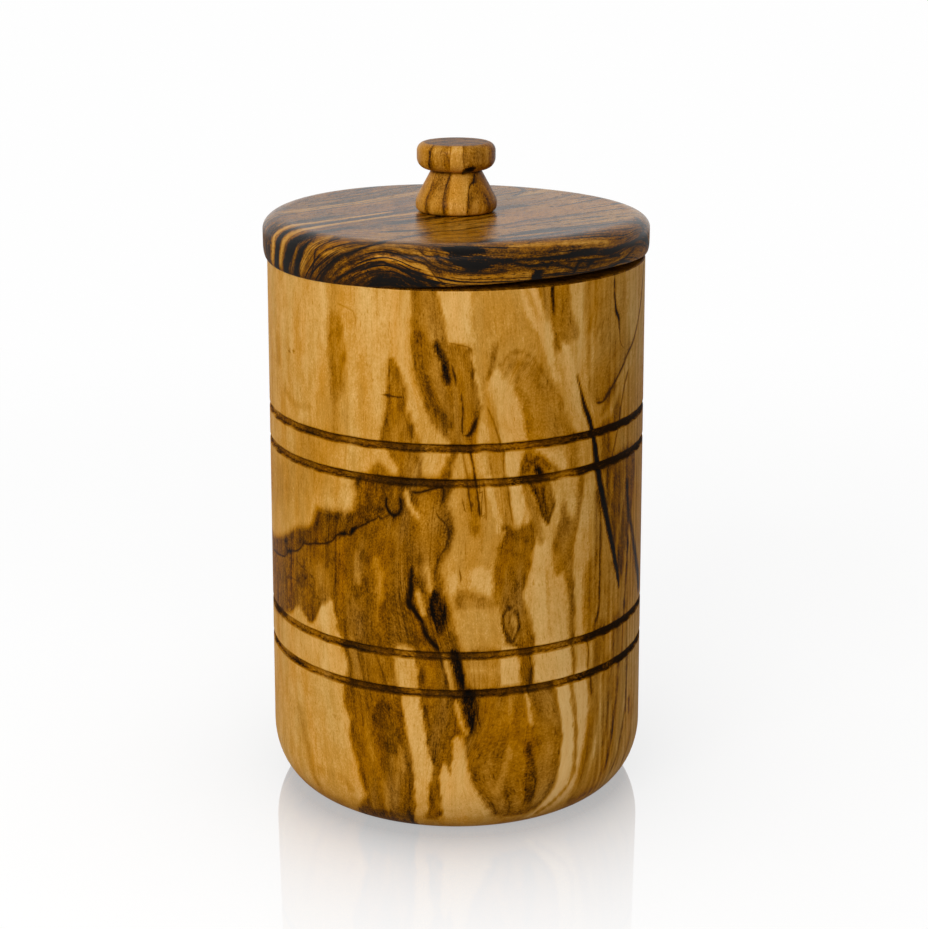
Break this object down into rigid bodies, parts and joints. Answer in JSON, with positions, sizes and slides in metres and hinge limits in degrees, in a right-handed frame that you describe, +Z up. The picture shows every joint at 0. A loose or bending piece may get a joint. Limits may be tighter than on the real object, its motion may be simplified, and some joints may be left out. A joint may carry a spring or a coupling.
{
  "type": "lidded wooden spice jar",
  "caption": "Turned wooden spice jar with paired ring grooves and a rounded foot, closed by a round lid with a turned knob on top and a rubber seal ring under it.",
  "frame": {"origin": "middle of the jar's base, on the surface that it stands on", "axes": "+Z up the turning axis, -Y towards the front of the picture, +X to its right"},
  "size_m": [0.0924, 0.0924, 0.1584],
  "materials": {
    "jar_wood": "oiled olive wood, satin, with dark heartwood figure and burnt ring grooves",
    "lid_wood": "oiled olive wood, semi-gloss",
    "knob_wood": "oiled olive wood, satin, with end grain on top",
    "seal_rubber": "matt black rubber",
    "screw_steel": "zinc-plated steel"
  },
  "bodies": {
    "jar": {"jar_body": "jar_wood"},
    "seal": {"seal_ring": "seal_rubber"},
    "lid_and_knob": {"lid": "lid_wood", "knob": "knob_wood", "knob_screw": "screw_steel"}
  },
  "joints": [
    {"name": "lid_lift", "type": "slide", "parent": "jar", "child": "seal", "axis": [0, 0, 1], "range_m": [0, 0.045]},
    {"name": "lid_turn", "type": "hinge", "parent": "seal", "child": "lid_and_knob", "pos_m": [0, 0, 0.1322], "axis": [0, 0, 1], "continuous": true}
  ]
}
